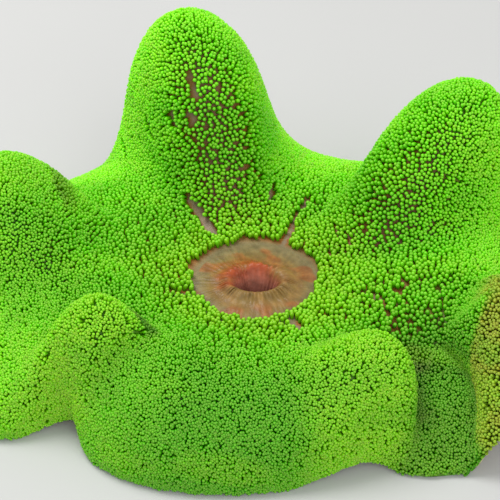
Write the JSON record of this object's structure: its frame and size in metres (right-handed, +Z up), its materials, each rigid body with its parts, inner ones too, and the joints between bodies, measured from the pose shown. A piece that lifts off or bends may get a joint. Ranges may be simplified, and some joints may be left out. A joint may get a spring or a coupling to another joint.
{
  "type": "sea anemone",
  "caption": "Life-size green carpet sea anemone: a folded oral disc set with bead-like tentacles round a bare mouth, on a short column and a round pedal disc.",
  "frame": {"origin": "centre of the pedal disc's underside, on the floor, straight below the mouth", "axes": "+Z up; -Y towards the low front lobe; +X to the right when seen from the front, along the disc's longest spread"},
  "size_m": [0.3195, 0.237, 0.1292],
  "materials": {
    "green_tentacles": "moist, satin, bright green bead-like tentacles over brown skin",
    "olive_tentacles": "moist, satin, olive green tentacles",
    "oral_skin": "moist, smooth, mauve brown bare skin",
    "lip": "moist, glossy, orange red ribbed lips",
    "throat": "moist, glossy, pale pink ribbed throat",
    "column_skin": "moist, satin, cream tan with small warts"
  },
  "bodies": {
    "root": {"lobe_right": "green_tentacles", "fold_back_right": "green_tentacles", "lobe_back": "green_tentacles", "fold_back_left": "green_tentacles", "lobe_back_left": "green_tentacles", "fold_left": "green_tentacles", "lobe_left": "green_tentacles", "fold_front_left": "green_tentacles", "lobe_front_left": "green_tentacles", "lobe_front": "green_tentacles", "fold_front_right": "green_tentacles", "lobe_front_right": "green_tentacles", "fold_right": "olive_tentacles", "mouth_disc": "oral_skin", "lip_back": "lip", "lip_front": "lip", "throat": "throat", "column": "column_skin", "pedal_disc": "column_skin"}
  },
  "joints": []
}
